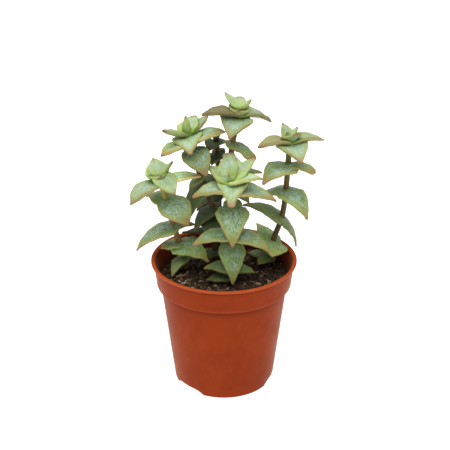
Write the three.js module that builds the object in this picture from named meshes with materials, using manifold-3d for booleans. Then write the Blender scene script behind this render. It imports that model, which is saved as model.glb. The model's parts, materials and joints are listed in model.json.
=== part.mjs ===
// Potted string of buttons: a small succulent with paired leaves, growing in a plastic nursery pot.
// Lengths are millimetres and angles are degrees. +Z is up, +X is to the right in the front view, and
// +Y points away from the viewer. The origin is the middle of the pot's flat underside.
import * as THREE from "three";
import { mergeVertices } from "three/addons/utils/BufferGeometryUtils.js";
import Module from "manifold-3d";

const wasm = await Module();
wasm.setup();

// Pot
const POT_HEIGHT = 55.1;
const RIM_RADIUS = 30;
const LIP_HEIGHT = 0.9;
const LIP_WIDTH = 1.4;
const LIP_BEVEL = 0.2;
const COLLAR_TOP_RADIUS = 28.97;
const COLLAR_FOOT_RADIUS = 27.78;
const COLLAR_DEPTH = 10.72;
const STEP_DROP = 0.9;
const STEP_SLOPE = 0.3;
const BODY_TOP_RADIUS = 26.18;
const FOOT_RADIUS = 20.85;
const FOOT_ROUND = 0.9;
const ROUND_MIDDLE = 1 - Math.SQRT1_2;
const WALL = 1.1;
const FLOOR = 1.3;
const POT_SEGMENTS = 40;
const NOTCH_TURNS = [224.5, 344.5, 104.5];
const NOTCH_HEIGHT = 2.5;
const NOTCH_WIDTH = 16;
const NOTCH_SQUARENESS = 2.4;
const NOTCH_REACH = 3.4;
const NOTCH_STEPS = 12;

// Soil
const SOIL_DEPTH = 8;
const SOIL_TOP = POT_HEIGHT - SOIL_DEPTH;
const SOIL_RELIEF = 0.6;
const CLEARANCE = 0.3;
const SOIL_RINGS = 5;

// Stems
const STEM_RADIUS = 1.15;
const STEM_SIDES = 7;
const STEM_STEPS = 12;
const STEM_ROOT = 6;
const HOLE_SIDES = 12;
const HOLE_CLEARANCE = 0.35;

// Leaves
const LEAF_EDGE = 1.1;
const LEAF_THINNING = 0.2;
const LEAF_KEEL = 0.9;
const LEAF_WIDTH_RATIO = 0.8;
const LEAF_WIDEST = 13.6;
const LEAF_WAIST = 0.74;
const LEAF_TIP_WIDTH = 1.2;
const LEAF_LATENESS = 1.4;
const LEAF_ROOT = 1.0;
const MIDRIB_STEPS = 60;

// The top leaves are cupped upwards, those with the narrowest bases are folded up along the midrib beyond
// their base, and the older ones below them are domed.
const BUD_DEPTH = 7;
const BUD_CUP = 0.22;
const FOLD = 0.5;
const FOLD_START = 0.35;
const FOLDED_WAIST = 0.5;
const DOME = -0.15;

// A leaf's form: how far out its widest place is, how full its sides are beyond that, and where its
// sections stand, as shares of its length.
const LARGE_LEAF = { shoulder: 0.2, power: 1.2, stations: [0, 0.12, 0.24, 0.5, 0.76, 1] };
const WAISTED_LEAF = { shoulder: 0.4, power: 1.7, stations: [0, 0.2, 0.4, 0.6, 0.8, 1] };
const SMALL_LEAF = { shoulder: 0.2, power: 1.7, stations: [0, 0.2, 0.55, 1] };
const SMALL_LEAF_LENGTH = 10.5;
const NARROW_WAIST = 0.7;

// Each stem's path is a list of [x, y, height above the soil]. Each pair of leaves has its height above
// the soil and its leaves as [turn, length, rise, droop]: the turn is the compass direction seen from
// above (0 is +X, 90 is +Y), the rise is the angle above the stem's square at which the leaf leaves the
// stem, and the droop is the angle that it bends down by along its length. Up to four more numbers follow
// where they aren't the usual ones: the width, the base's width as a share of that, the tip's width, and
// how late along its length the leaf droops.
const STEMS = {
  stem_a: {
    path: [[3.3, 13, 0], [3.3, 13, 3], [2.9, 13, 36], [3.2, 13, 52], [5.4, 13, 62], [6.2, 13, 68.7]],
    pairs: [
      { height: 11, leaves: [[329, 12, 7, 30, 9], [125, 5.8, 10, 40]] },
      { height: 24, leaves: [[195, 5.5, 5, 45], [15, 8, 5, 45]] },
      { height: 34.5, leaves: [[303, 14, 8, 45], [112, 7.5, 8, 45]] },
      { height: 40.5, leaves: [[190, 8, 10, 45], [15, 14, 12, 45]] },
      { height: 54, leaves: [[320, 13, 2, 45, 9, 0.74, 6], [135, 5, 0, 40]] },
      { height: 64, leaves: [[256, 14, 15, 65, 13.6, 0.74, 1.8, 0.8], [75, 11, 0, 40]] },
      { height: 66, leaves: [[203, 16.5, 19, 44, 7.2, 0.5], [28, 17.5, 7, 56, 7.8, 0.5]] },
      { height: 67, leaves: [[90, 8, 35, 10, 8.5, 0.74, 5], [263, 6, 24, 10, 7.5, 0.8, 1.8]] },
      { height: 68.3, leaves: [[144, 9, 35, 10, 5.5], [340, 6.5, 52, 10]] },
    ],
  },
  stem_b: {
    path: [[2, -5, 0], [2, -5, 3], [3, -5, 14], [3.4, -5, 32], [3.3, -5, 45.6]],
    pairs: [
      { height: 3, leaves: [[200, 10, 0, 20]] },
      { height: 7, leaves: [[192, 11, 8, 35, 11], [350, 11, 8, 35, 11]] },
      { height: 17, leaves: [[277, 17.5, -28, 60, 11, 0.8, 1.2, 0.8], [90, 11, 10, 45]] },
      { height: 22.5, leaves: [[207, 18.5, 9, 45], [326, 19, 6, 45]] },
      { height: 33.5, leaves: [[270, 18.5, -8, 75, 13.6, 0.8, 1.2, 0.8], [88, 9.5, 15, 45]] },
      { height: 40.2, leaves: [[207, 18.5, 26, 57, 14], [341, 19, 13, 47]] },
      { height: 43.1, leaves: [[268, 15.5, 23, 70, 12, 0.74, 3, 0.8], [97, 16, 66, 75, 13.5, 0.8, 5]] },
      { height: 44, leaves: [[141, 14.2, 30, 37], [332, 14, 31, 35]] },
      { height: 45, leaves: [[36, 13.5, 40, 25, 9.5], [250, 5, 45, 10, 3]] },
      { height: 45.6, leaves: [[58, 8, 73, 5, 2.8], [230, 4.5, 60, 5, 2.6]] },
    ],
  },
  stem_c: {
    path: [
      [19.3, 11, 0], [19.3, 11, 3], [20.6, 11, 10.5], [24.2, 11, 22], [25.6, 11, 36], [26.1, 11, 46],
      [26.6, 11, 57],
    ],
    pairs: [
      { height: 4, leaves: [[235, 9, 5, 40], [180, 10, 10, 30]] },
      { height: 10.7, leaves: [[268, 13, 12, 50, 12.5, 0.66], [121, 14, 15, 30]] },
      { height: 22, leaves: [[357, 16, -33, 52, 10.5], [172, 18, 22, 50, 12, 0.95]] },
      { height: 34.5, leaves: [[308, 18, 4, 70, 13.6, 0.74, 2, 1], [158, 13.5, -8, 55]] },
      { height: 45.6, leaves: [[229, 17.5, 5, 55, 14.5, 0.74, 1.8], [330, 13, 15, 55, 9.5, 0.74, 6]] },
      { height: 53.3, leaves: [[291, 13.5, 23, 66, 14, 0.74, 1.8, 0.8], [106, 11, -5, 45]] },
      { height: 54.9, leaves: [[211, 16, 19, 46, 7.4, 0.5], [24, 16.5, 17, 50, 7, 0.5]] },
      { height: 56, leaves: [[113, 8.5, 35, 10, 6], [304, 6.2, 45, 10, 9, 0.9, 5.5]] },
      { height: 56.8, leaves: [[55, 6, 33, 5, 3.2], [239, 4, 50, 5]] },
    ],
  },
  stem_d: {
    path: [
      [-3.8, 10, 0], [-3.8, 10, 3], [-4.4, 10, 24], [-8.2, 10, 36], [-11.4, 10, 46], [-13.9, 10, 54],
      [-15.2, 10, 60.5],
    ],
    pairs: [
      { height: 7, leaves: [[246, 11, 12, 35, 9], [66, 5, 10, 40]] },
      { height: 16.5, leaves: [[178, 14, 2, 20, 7], [358, 5, 5, 40]] },
      { height: 22, leaves: [[256, 13, 7, 50, 12], [95, 5, 5, 45]] },
      { height: 27, leaves: [[218, 13, -8, 50, 11, 0.8, 3], [51, 5, 10, 40]] },
      { height: 37, leaves: [[218, 18, -15, 60, 13.6, 0.74, 1.5, 1.2], [53, 5, 10, 40]] },
      { height: 40.5, leaves: [[205, 7.6, -8, 45, 6.5], [25, 4.5, 0, 40]] },
      { height: 52.5, leaves: [[288, 18.5, 16, 80, 11.2, 0.69, 2.4, 0.8], [103, 7, 5, 45]] },
      { height: 54.2, leaves: [[226, 16, 30, 47, 10, 0.6, 1.2, 1], [352, 16.6, 30, 52, 12, 0.6]] },
      { height: 57.2, leaves: [[275, 13.5, 20, 60, 12.5, 0.74, 2, 0.8], [94, 10, 10, 40]] },
      { height: 58.4, leaves: [[219, 12.5, 35, 18, 6, 0.6], [44, 13, 25, 25, 6.5, 0.6]] },
      { height: 59.6, leaves: [[290, 8.5, 68, 8, 3.6], [66, 9.5, 25, 10, 9, 0.8, 5]] },
    ],
  },
  stem_e: {
    path: [
      [-16, 6, 0], [-16, 6, 3], [-18.4, 6, 11.5], [-22.3, 6, 25.5], [-23.8, 6, 32.5], [-25.6, 6, 39],
      [-26.5, 6, 42.5],
    ],
    pairs: [
      { height: 6.5, leaves: [[240, 12.5, 0, 40, 8.5]] },
      { height: 12.8, leaves: [[319, 17, -10, 50, 14], [205, 8.5, 15, 30, 11, 0.74, 3]] },
      { height: 21, leaves: [[200, 19.5, 4, 50, 15.5], [8, 9.5, -8, 35]] },
      {
        height: 32.5,
        leaves: [[304, 17.5, -4, 60, 13.5, 0.66, 1.5, 0.9], [138, 11.5, 19, 50, 10, 0.74, 4]],
      },
      { height: 38.8, leaves: [[220, 17.5, 21, 66, 12.5, 0.6], [3, 17.3, 13, 45, 8.5, 0.6]] },
      { height: 41.4, leaves: [[299, 14.5, 26, 84, 9, 0.6, 1.2, 0.8], [127, 9, 10, 40, 7]] },
      { height: 41.7, leaves: [[100, 9, 45, 5, 10], [285, 6, 25, 10, 7, 0.8, 1.8]] },
      { height: 42.3, leaves: [[17, 8, 30, 5, 5], [197, 5, 50, 5, 4]] },
    ],
  },
  stem_f: {
    path: [[-2, 20, 0], [-2, 20, 3], [-2.1, 20, 25], [-2.5, 20, 43], [-3.4, 20, 54.5]],
    pairs: [
      { height: 12, leaves: [[190, 7, 5, 40], [10, 5.4, 5, 40]] },
      { height: 21, leaves: [[100, 6, 5, 40], [280, 6, 5, 40]] },
      { height: 29, leaves: [[205, 13, -12, 50, 10], [25, 5.4, 5, 45]] },
      { height: 36.5, leaves: [[200, 8, 5, 50], [10, 8, 5, 45]] },
      { height: 46.8, leaves: [[254, 9.5, 7, 50, 8], [74, 7, 10, 40]] },
      { height: 51.5, leaves: [[247, 8.5, 14, 50, 8], [25, 5.5, 5, 45, 5]] },
      { height: 54, leaves: [[290, 4, 35, 10, 3], [110, 4, 35, 10, 3]] },
    ],
  },
};

const radians = THREE.MathUtils.degToRad;

// A closed geometry as a solid: shared corners merged, and triangles with no area left out.
function toSolid(geometry) {
  const plain = geometry.clone();
  plain.deleteAttribute("normal");
  plain.deleteAttribute("uv");
  const merged = mergeVertices(plain, 1e-4);
  const corners = merged.index.array;
  const kept = [];
  for (let i = 0; i < corners.length; i += 3) {
    const [a, b, c] = [corners[i], corners[i + 1], corners[i + 2]];
    if (a !== b && b !== c && c !== a) kept.push(a, b, c);
  }
  const vertProperties = new Float32Array(merged.attributes.position.array);
  const mesh = new wasm.Mesh({ numProp: 3, vertProperties, triVerts: new Uint32Array(kept) });
  return new wasm.Manifold(mesh);
}

// A solid back as a geometry that a mesh can hold.
function toGeometry(solid) {
  const mesh = solid.getMesh();
  const geometry = new THREE.BufferGeometry();
  geometry.setAttribute("position", new THREE.BufferAttribute(new Float32Array(mesh.vertProperties), 3));
  geometry.setIndex(new THREE.BufferAttribute(new Uint32Array(mesh.triVerts), 1));
  geometry.computeVertexNormals();
  return geometry;
}

function joined(solids) {
  return solids.reduce((whole, piece) => whole.add(piece));
}

// The largest closed surface of a solid: loose scraps are dropped and sealed hollows are filled.
function largest(solid) {
  return solid.decompose().reduce((best, body) => (body.volume() > best.volume() ? body : best));
}

// A profile of [radius, height] points turned about the Z axis.
function turned(profile, segments) {
  const points = profile.map(([radius, height]) => new THREE.Vector2(radius, height));
  return new THREE.LatheGeometry(points, segments).rotateX(Math.PI / 2);
}

// The pot's levels and inner radii that follow from its outside.
const COLLAR_FOOT = POT_HEIGHT - COLLAR_DEPTH;
const INNER_FLOOR_RADIUS = FOOT_RADIUS - WALL;
const INNER_STEP_RADIUS = BODY_TOP_RADIUS - WALL;
const INNER_COLLAR_RADIUS = COLLAR_FOOT_RADIUS - WALL;
const INNER_RIM_RADIUS = RIM_RADIUS - LIP_WIDTH;

function makePot() {
  const outside = [
    [0, 0],
    [FOOT_RADIUS - FOOT_ROUND, 0],
    [FOOT_RADIUS - ROUND_MIDDLE * FOOT_ROUND, ROUND_MIDDLE * FOOT_ROUND],
    [FOOT_RADIUS, FOOT_ROUND],
    [BODY_TOP_RADIUS, COLLAR_FOOT - STEP_SLOPE],
    [COLLAR_FOOT_RADIUS, COLLAR_FOOT],
    [COLLAR_TOP_RADIUS, POT_HEIGHT - LIP_HEIGHT],
    [RIM_RADIUS, POT_HEIGHT - LIP_HEIGHT],
    [RIM_RADIUS, POT_HEIGHT - LIP_BEVEL],
    [RIM_RADIUS - LIP_BEVEL, POT_HEIGHT],
  ];
  const inside = [
    [INNER_RIM_RADIUS, POT_HEIGHT],
    [COLLAR_TOP_RADIUS - WALL, POT_HEIGHT - 2 * LIP_HEIGHT],
    [INNER_COLLAR_RADIUS, COLLAR_FOOT],
    [INNER_STEP_RADIUS, COLLAR_FOOT - STEP_DROP],
    [INNER_FLOOR_RADIUS, FLOOR],
    [0, FLOOR],
  ];
  const shell = toSolid(turned([...outside, ...inside], POT_SEGMENTS));
  return NOTCH_TURNS.reduce((pot, turn) => pot.subtract(makeNotch(turn)), shell);
}

// The arched space of one drain notch, cut through the foot of the wall and the edge of the floor.
function makeNotch(turn) {
  const half = NOTCH_WIDTH / 2;
  const arch = new THREE.Shape();
  arch.moveTo(-half, -1);
  for (let i = 0; i <= NOTCH_STEPS; i += 1) {
    const share = (2 * i) / NOTCH_STEPS - 1;
    const fall = Math.abs(share) ** NOTCH_SQUARENESS;
    arch.lineTo(half * share, NOTCH_HEIGHT * Math.cos((Math.PI / 2) * fall));
  }
  arch.lineTo(half, -1);
  arch.closePath();
  const cutter = new THREE.ExtrudeGeometry(arch, { depth: 2 * NOTCH_REACH, bevelEnabled: false, steps: 1 });
  cutter.rotateX(Math.PI / 2);
  cutter.translate(0, FOOT_RADIUS + NOTCH_REACH, 0);
  cutter.rotateZ(radians(turn - 90));
  return toSolid(cutter);
}

// Low waves of the soil's surface, which die out towards the pot's wall.
function soilRelief(x, y) {
  const broad = Math.sin(0.55 * x + 0.4) * Math.cos(0.47 * y + 1.1);
  const fine = 0.6 * Math.sin(0.9 * x - 0.7 * y + 2.3);
  const edge = Math.hypot(x, y) / INNER_COLLAR_RADIUS;
  return SOIL_RELIEF * (broad + fine) * (1 - edge ** 4);
}

function makeSoil() {
  const top = [];
  const edgeRadius = INNER_COLLAR_RADIUS - CLEARANCE;
  for (let i = SOIL_RINGS; i >= 0; i -= 1) top.push([(edgeRadius * i) / SOIL_RINGS, SOIL_TOP]);
  const profile = [
    [0, FLOOR + CLEARANCE],
    [INNER_FLOOR_RADIUS - 2 * CLEARANCE, FLOOR + CLEARANCE],
    [INNER_STEP_RADIUS - 1.8 * CLEARANCE, COLLAR_FOOT - STEP_DROP],
    [edgeRadius, COLLAR_FOOT + CLEARANCE],
    ...top,
  ];
  const body = turned(profile, POT_SEGMENTS);
  const places = body.getAttribute("position");
  for (let i = 0; i < places.count; i += 1) {
    if (places.getZ(i) > SOIL_TOP - 0.01) {
      places.setZ(i, SOIL_TOP + soilRelief(places.getX(i), places.getY(i)));
    }
  }
  const holes = Object.values(STEMS).map(({ path }) => makeHole(path[0]));
  return holes.reduce((soil, hole) => soil.subtract(hole), toSolid(body));
}

// The plain hole that a stem stands in, a clearance wider and deeper than the stem. The cutter stands
// proud of the soil, so that it goes through the highest of its waves.
function makeHole([x, y]) {
  const depth = STEM_ROOT + HOLE_CLEARANCE;
  const proud = 3;
  const radius = (STEM_RADIUS + HOLE_CLEARANCE) / Math.cos(Math.PI / HOLE_SIDES);
  const hole = new THREE.CylinderGeometry(radius, radius, depth + proud, HOLE_SIDES);
  hole.rotateX(Math.PI / 2);
  hole.translate(x, y, SOIL_TOP + (proud - depth) / 2);
  return toSolid(hole);
}

function stemCurve(path) {
  const root = new THREE.Vector3(path[0][0], path[0][1], SOIL_TOP - STEM_ROOT);
  const points = path.map(([x, y, height]) => new THREE.Vector3(x, y, SOIL_TOP + height));
  return new THREE.CatmullRomCurve3([root, ...points], false, "centripetal");
}

// Where the stem is at a height above the soil, and its direction there.
function onStem(curve, height) {
  const target = SOIL_TOP + height;
  let low = 0;
  let high = 1;
  for (let i = 0; i < 30; i += 1) {
    const middle = (low + high) / 2;
    if (curve.getPoint(middle).z < target) low = middle;
    else high = middle;
  }
  return { point: curve.getPoint(low), up: curve.getTangent(low) };
}

// Half of a leaf's width at a share s of its length, as a share of its widest half.
function leafOutline(s, { shoulder, power }, waist) {
  if (s < shoulder) return waist + (1 - waist) * Math.sin((Math.PI / 2) * (s / shoulder));
  return 1 - ((s - shoulder) / (1 - shoulder)) ** power;
}

// The points of a leaf's midrib, out and up from its stem, and its slope there.
function midrib({ length, rise, droop, lateness }, stations) {
  const root = radians(rise);
  const points = [{ out: -LEAF_ROOT * Math.cos(root), up: -LEAF_ROOT * Math.sin(root), slope: root }];
  let out = 0;
  let up = 0;
  for (let i = 0; i <= MIDRIB_STEPS; i += 1) {
    const slope = radians(rise - droop * (i / MIDRIB_STEPS) ** lateness);
    if (stations.some((s) => s > 0 && Math.round(s * MIDRIB_STEPS) === i)) points.push({ out, up, slope });
    out += (Math.cos(slope) * length) / MIDRIB_STEPS;
    up += (Math.sin(slope) * length) / MIDRIB_STEPS;
  }
  return points;
}

// One leaf in its own frame: X out from the stem, Y across, Z up the stem. Six corners go round each
// section: the two margins and the midrib on the upper face, and the same with the keel on the lower.
function makeLeaf(leaf, hollow) {
  const own = leaf.waist < NARROW_WAIST ? WAISTED_LEAF : LARGE_LEAF;
  const form = leaf.length < SMALL_LEAF_LENGTH ? SMALL_LEAF : own;
  const rib = midrib(leaf, form.stations);
  const corners = [];
  rib.forEach(({ out, up, slope }, i) => {
    const share = leafOutline(form.stations[i], form, leaf.waist);
    const half = Math.max((leaf.width / 2) * share, leaf.tip / 2);
    const begun = hollow === FOLD ? Math.min(1, form.stations[i] / FOLD_START) : 1;
    const cup = hollow * half * (1 - form.stations[i]) * begun;
    const edge = LEAF_EDGE * (1 - LEAF_THINNING * (1 - share));
    const keel = LEAF_KEEL * share;
    const upper = [[-half, cup], [0, 0], [half, cup]];
    const lower = [[half, cup - edge], [0, -edge - keel], [-half, cup - edge]];
    [...upper, ...lower].forEach(([across, lift]) => {
      corners.push(out - lift * Math.sin(slope), across, up + lift * Math.cos(slope));
    });
  });
  const around = 6;
  const faces = [];
  const quad = (a, b, c, d, flip) => {
    if (flip) faces.push(a, b, d, b, c, d);
    else faces.push(a, b, c, a, c, d);
  };
  for (let i = 0; i < rib.length - 1; i += 1) {
    for (let j = 0; j < around; j += 1) {
      const k = (j + 1) % around;
      quad(i * around + j, (i + 1) * around + j, (i + 1) * around + k, i * around + k, j === 0 || j === 3);
    }
  }
  const last = (rib.length - 1) * around;
  for (const [a, b, c] of [[0, 1, 5], [1, 4, 5], [1, 2, 4], [2, 3, 4]]) {
    faces.push(a, b, c);
    faces.push(last + a, last + c, last + b);
  }
  const geometry = new THREE.BufferGeometry();
  geometry.setAttribute("position", new THREE.Float32BufferAttribute(corners, 3));
  geometry.setIndex(faces);
  return geometry;
}

// A leaf's numbers by name, with the usual ones where its list is short.
function readLeaf([turn, length, rise, droop, width, waist, tip, lateness]) {
  return {
    turn, length, rise, droop,
    width: width ?? Math.min(LEAF_WIDEST, LEAF_WIDTH_RATIO * length),
    waist: waist ?? LEAF_WAIST,
    tip: tip ?? LEAF_TIP_WIDTH,
    lateness: lateness ?? LEAF_LATENESS,
  };
}

function placedLeaf(curve, height, numbers, young) {
  const leaf = readLeaf(numbers);
  const cup = leaf.waist <= FOLDED_WAIST ? FOLD : BUD_CUP;
  const { point, up } = onStem(curve, height);
  const right = new THREE.Vector3(1, 0, 0).addScaledVector(up, -up.x).normalize();
  const away = new THREE.Vector3().crossVectors(up, right);
  const out = right.clone().multiplyScalar(Math.cos(radians(leaf.turn)));
  out.addScaledVector(away, Math.sin(radians(leaf.turn)));
  const across = new THREE.Vector3().crossVectors(up, out);
  const place = new THREE.Matrix4().makeBasis(out, across, up).setPosition(point);
  return toSolid(makeLeaf(leaf, young ? cup : DOME).applyMatrix4(place));
}

function makeStalk(curve, steps) {
  const section = new THREE.Shape();
  for (let i = 0; i < STEM_SIDES; i += 1) {
    const angle = (2 * Math.PI * i) / STEM_SIDES;
    const [x, y] = [STEM_RADIUS * Math.cos(angle), STEM_RADIUS * Math.sin(angle)];
    if (i === 0) section.moveTo(x, y);
    else section.lineTo(x, y);
  }
  section.closePath();
  return toSolid(new THREE.ExtrudeGeometry(section, { steps, extrudePath: curve }));
}

function makeLeafyStem({ path, pairs }) {
  const curve = stemCurve(path);
  const top = path[path.length - 1][2];
  const grown = pairs.flatMap(({ height, leaves }) => {
    const young = top - height < BUD_DEPTH;
    return leaves.map((numbers) => placedLeaf(curve, height, numbers, young));
  });
  return largest(joined([makeStalk(curve, STEM_STEPS), ...grown]));
}

const LEAF_GREEN = 0x7d9c68;
const part = new THREE.Group();

function addPiece(name, solid, material) {
  const mesh = new THREE.Mesh(toGeometry(solid), new THREE.MeshStandardMaterial(material));
  mesh.name = name;
  part.add(mesh);
}

addPiece("pot", makePot(), { color: 0xa3442a, roughness: 0.5, metalness: 0 });
addPiece("soil", makeSoil(), { color: 0x2c1f17, roughness: 0.95, metalness: 0 });
for (const [name, stem] of Object.entries(STEMS)) {
  addPiece(name, makeLeafyStem(stem), { color: LEAF_GREEN, roughness: 0.6, metalness: 0 });
}

export default part;
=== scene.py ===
"""A potted string of buttons: six leafy stems in dark soil, in a small terracotta-coloured nursery pot.

Sizes in the classes are millimetres and angles are degrees. Meshes are in metres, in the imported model's
frame: +Z up, +X right in the front view, +Y away from the viewer, and the origin under the pot's middle.
"""

from __future__ import annotations

import json
import logging
import math
import random
from dataclasses import dataclass, field
from enum import Enum

import bmesh
import bpy
from mathutils import Matrix, Vector, noise

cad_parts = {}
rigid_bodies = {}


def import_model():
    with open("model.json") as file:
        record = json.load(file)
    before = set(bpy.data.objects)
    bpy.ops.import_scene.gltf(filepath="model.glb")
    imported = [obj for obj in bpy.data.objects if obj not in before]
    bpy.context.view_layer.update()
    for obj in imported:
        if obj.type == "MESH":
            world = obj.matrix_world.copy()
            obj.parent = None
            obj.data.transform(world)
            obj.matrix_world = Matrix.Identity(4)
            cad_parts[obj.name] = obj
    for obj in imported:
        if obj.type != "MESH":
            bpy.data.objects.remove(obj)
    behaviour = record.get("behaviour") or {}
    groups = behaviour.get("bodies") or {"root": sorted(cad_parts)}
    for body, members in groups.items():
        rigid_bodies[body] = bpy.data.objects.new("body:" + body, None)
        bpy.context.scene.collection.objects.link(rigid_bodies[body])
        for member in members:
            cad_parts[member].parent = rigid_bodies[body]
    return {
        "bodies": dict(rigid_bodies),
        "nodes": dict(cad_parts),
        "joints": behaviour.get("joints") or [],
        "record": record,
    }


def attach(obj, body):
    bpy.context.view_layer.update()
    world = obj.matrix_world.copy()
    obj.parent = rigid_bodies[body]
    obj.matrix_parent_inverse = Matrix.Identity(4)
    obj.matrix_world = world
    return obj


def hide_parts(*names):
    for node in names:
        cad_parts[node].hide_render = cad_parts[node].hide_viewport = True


LOG = logging.getLogger("string_of_buttons")
MM = 0.001
POT_HEIGHT = 55.1
SOIL_TOP = 47.1
NOISE_SEED = 7
WELD = 1e-4
LEAF_MARKS = ("age", "along", "rim", "under", "blush", "reach", "across", "tone", "tan")
ON_MARGIN = 0.999
Triple = tuple[float, float, float]
Colour = Triple
Socket = bpy.types.NodeSocket
Material = bpy.types.Material
Piece = bpy.types.Object
Shape = bmesh.types.BMesh
Vert = bmesh.types.BMVert


def srgb(red: int, green: int, blue: int) -> Colour:
    """Turns a colour as a screen shows it into the linear values that shaders use.

    Args:
        red: How red it is, from 0 to 255.
        green: How green it is.
        blue: How blue it is.

    Returns:
        The linear colour.
    """

    def linear(level: int) -> float:
        """One channel, made linear."""
        share = level / 255
        return share / 12.92 if share <= 0.04045 else ((share + 0.055) / 1.055) ** 2.4

    return linear(red), linear(green), linear(blue)


class NodeName(Enum):
    """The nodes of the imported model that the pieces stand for."""

    POT = "pot"
    SOIL = "soil"
    STEM_A = "stem_a"
    STEM_B = "stem_b"
    STEM_C = "stem_c"
    STEM_D = "stem_d"
    STEM_E = "stem_e"
    STEM_F = "stem_f"


class Slot(Enum):
    """The record's material slots."""

    POT = "pot_plastic"
    SOIL = "soil"
    LEAF = "leaf"


class ShaderSheet:
    """One material's node tree, with a short call for each kind of node that the finishes use."""

    def __init__(self, name: str) -> None:
        """Starts an empty tree that ends in a Principled shader.

        Args:
            name: The material's name.
        """
        self.material = bpy.data.materials.new(name)
        self.material.use_nodes = True
        self.tree = self.material.node_tree
        self.tree.nodes.clear()
        self.shader = self.node("BsdfPrincipled", {})
        self.node("OutputMaterial", {"Surface": self.shader.outputs["BSDF"]})
        self.place = self.node("TexCoord", {}).outputs["Object"]

    def plug(self, socket: Socket, value: object) -> None:
        """Links a socket to another one, or sets its number or colour.

        Args:
            socket: An input.
            value: The other socket, or the number or colour.
        """
        if isinstance(value, Socket):
            self.tree.links.new(value, socket)
        elif isinstance(value, tuple) and len(value) == 3 and socket.type == "RGBA":
            socket.default_value = (*value, 1.0)
        else:
            socket.default_value = value

    def node(self, kind: str, values: dict[str | int, object]) -> bpy.types.Node:
        """A new node of a kind, with some of its inputs linked or set.

        Args:
            kind: The node's type, without ShaderNode.
            values: What each of these inputs gets.

        Returns:
            The node.
        """
        made = self.tree.nodes.new("ShaderNode" + kind)
        for name, value in values.items():
            self.plug(made.inputs[name], value)
        return made

    def set(self, name: str, value: object) -> None:
        """Sets or links one of the Principled shader's sockets."""
        self.plug(self.shader.inputs[name], value)

    def attribute(self, name: str) -> Socket:
        """A number that the mesh carries at each of its vertices.

        Args:
            name: The attribute's name.

        Returns:
            The number.
        """
        node = self.node("Attribute", {})
        node.attribute_name = name
        return node.outputs["Fac"]

    def height(self) -> Socket:
        """The shaded point's height, in metres."""
        return self.node("SeparateXYZ", {0: self.place}).outputs["Z"]

    def stretched(self, scale: Triple) -> Socket:
        """Object coordinates, scaled along each axis."""
        return self.node("Mapping", {"Vector": self.place, "Scale": scale}).outputs["Vector"]

    def grain(self, stretch: float) -> Socket:
        """Coordinates along and across each leaf, with lengthwise sizes drawn out by a factor.

        Args:
            stretch: The factor.

        Returns:
            The coordinates.
        """
        scales = {"reach": MM / stretch, "across": MM, "blush": 0.3}
        parts = (self.times(self.attribute(name), scale) for name, scale in scales.items())
        return self.node("CombineXYZ", dict(zip("XYZ", parts))).outputs["Vector"]

    def noise(
        self,
        size: float,
        detail: float = 2.0,
        rough: float = 0.5,
        bend: float = 0.0,
        place: Socket | None = None,
    ) -> Socket:
        """Cloudy noise.

        Args:
            size: About how wide one blotch is, in millimetres.
            detail: How many finer layers are added.
            rough: How strong the finer layers are.
            bend: How much the blotches are distorted.
            place: Coordinates, where they aren't the object's own.

        Returns:
            The noise, about 0.5 on average.
        """
        values = {
            "Vector": place or self.place, "Scale": 1 / (size * MM),
            "Detail": detail, "Roughness": rough, "Distortion": bend,
        }
        return self.node("TexNoise", values).outputs["Fac"]

    def dots(self, size: float) -> Socket:
        """The distance from the nearest of many scattered points, which are about size millimetres apart."""
        return self.node("TexVoronoi", {"Vector": self.place, "Scale": 1 / (size * MM)}).outputs["Distance"]

    def math(self, operation: str, first: object, second: object) -> Socket:
        """One sum of two numbers or sockets, by the Math node's name for it.

        Args:
            operation: The name.
            first: The first number.
            second: The second number.

        Returns:
            The result.
        """
        node = self.node("Math", {0: first, 1: second})
        node.operation = operation
        return node.outputs[0]

    def times(self, first: object, *others: object) -> object:
        """The product of several numbers or sockets.

        Args:
            first: The first one.
            others: The others.

        Returns:
            The product.
        """
        for other in others:
            first = self.math("MULTIPLY", first, other)
        return first

    def roughened(self, value: object, size: float, strength: float, detail: float = 2.0) -> Socket:
        """A number or socket with noise of a size, in millimetres, and a strength added to it."""
        return self.math("ADD", value, self.times(self.noise(size, detail), strength))

    def span(
        self, value: object, low: float, high: float, at_low: float = 0.0, at_high: float = 1.0
    ) -> Socket:
        """A smooth step between two values.

        Args:
            value: The number or socket that is read.
            low: Where the step starts.
            high: Where the step ends.
            at_low: The result up to the start.
            at_high: The result from the end on.

        Returns:
            The result.
        """
        values = {"Value": value, "From Min": low, "From Max": high, "To Min": at_low, "To Max": at_high}
        node = self.node("MapRange", values)
        node.interpolation_type = "SMOOTHSTEP"
        return node.outputs["Result"]

    def mix(self, share: object, first: object, second: object, mode: str = "MIX") -> Socket:
        """Two colours mixed.

        Args:
            share: How much of the second colour is used.
            first: The first colour or socket.
            second: The second colour or socket.
            mode: The Mix node's blend type.

        Returns:
            The mixed colour.
        """
        node = self.node("Mix", {"Factor": share})
        node.data_type = "RGBA"
        node.blend_type = mode
        colours = [socket for socket in node.inputs if socket.type == "RGBA"]
        self.plug(colours[0], first)
        self.plug(colours[1], second)
        return next(socket for socket in node.outputs if socket.type == "RGBA")

    def coat(self, below: object, above: object, *steps: object) -> Socket:
        """Lays one colour over another where all of several steps let it show.

        Args:
            below: The colour or socket underneath.
            above: The colour or socket on top.
            steps: What span takes, for each step, or a share that is ready.

        Returns:
            The mixed colour.
        """
        shares = [self.span(*step) if isinstance(step, tuple) else step for step in steps]
        return self.mix(self.times(*shares), below, above)

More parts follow.
